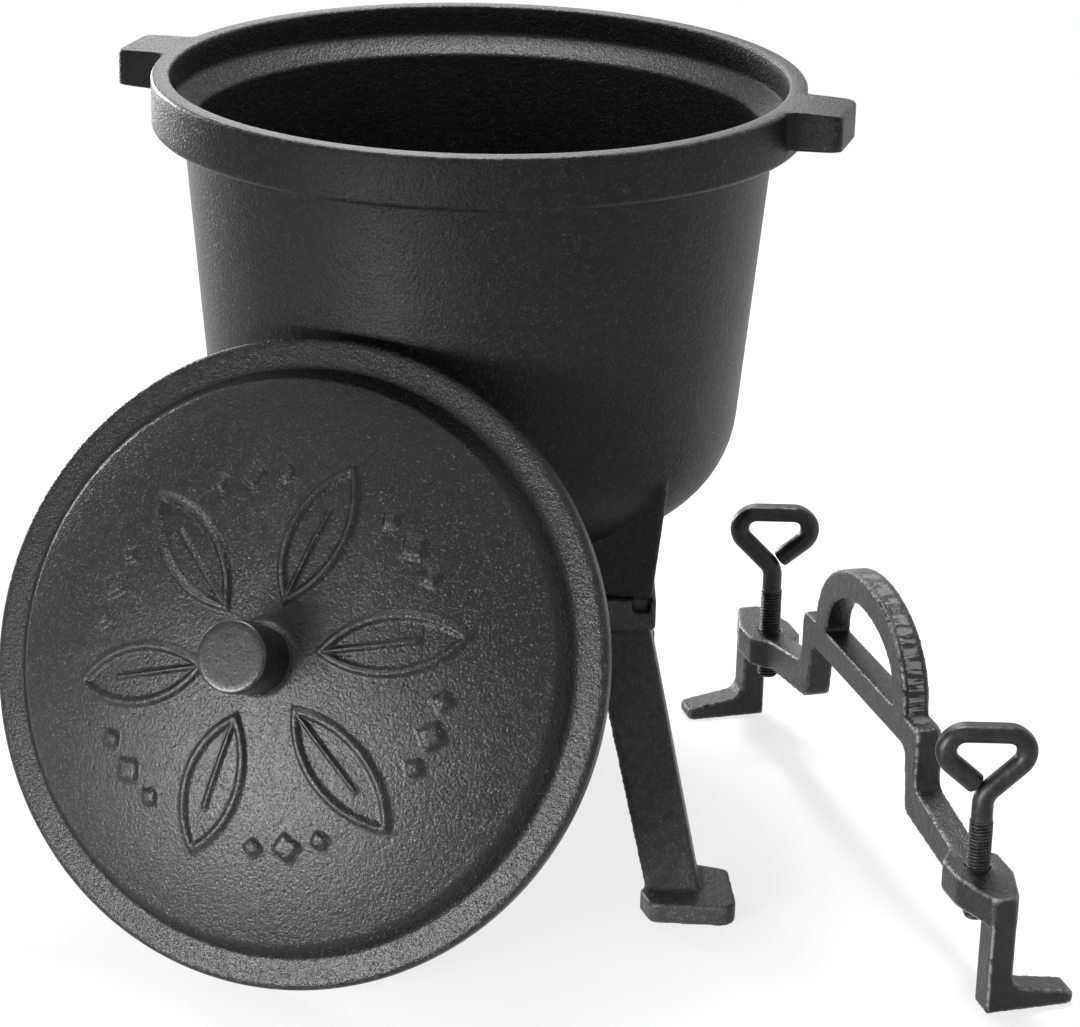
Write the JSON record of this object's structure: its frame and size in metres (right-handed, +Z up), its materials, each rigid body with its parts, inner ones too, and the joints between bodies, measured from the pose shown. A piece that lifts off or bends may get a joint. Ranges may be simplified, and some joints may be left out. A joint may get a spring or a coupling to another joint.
{
  "type": "dutch oven",
  "caption": "Cast iron cauldron style dutch oven on three plug-in legs, with a domed lid and a screw clamp that holds the lid down.",
  "frame": {"origin": "middle of the whole arrangement's footprint, on the ground", "axes": "+Z up along the pot's axis; +Y from the lid's side to the open wall of the pot; +X toward the clamp"},
  "size_m": [0.4506, 0.4147, 0.332],
  "materials": {
    "pot_iron": "rough black cast iron",
    "leg_iron": "rough black cast iron",
    "lid_iron": "rough black cast iron",
    "clamp_steel": "black coated steel, worn on its edges",
    "screw_steel": "blackened steel rod"
  },
  "bodies": {
    "oven": {"pot": "pot_iron", "leg_front": "leg_iron", "leg_back": "leg_iron", "leg_left": "leg_iron", "lid": "lid_iron", "clamp_bridge": "clamp_steel"},
    "screw_front": {"clamp_screw_front": "screw_steel"},
    "screw_rear": {"clamp_screw_rear": "screw_steel"}
  },
  "joints": [
    {"name": "screw_front_travel", "type": "slide", "parent": "oven", "child": "screw_front", "axis": [0, 0, 1], "range_m": [-0.019, 0.009]},
    {"name": "screw_rear_travel", "type": "slide", "parent": "oven", "child": "screw_rear", "axis": [0, 0, 1], "range_m": [-0.019, 0.009]}
  ]
}
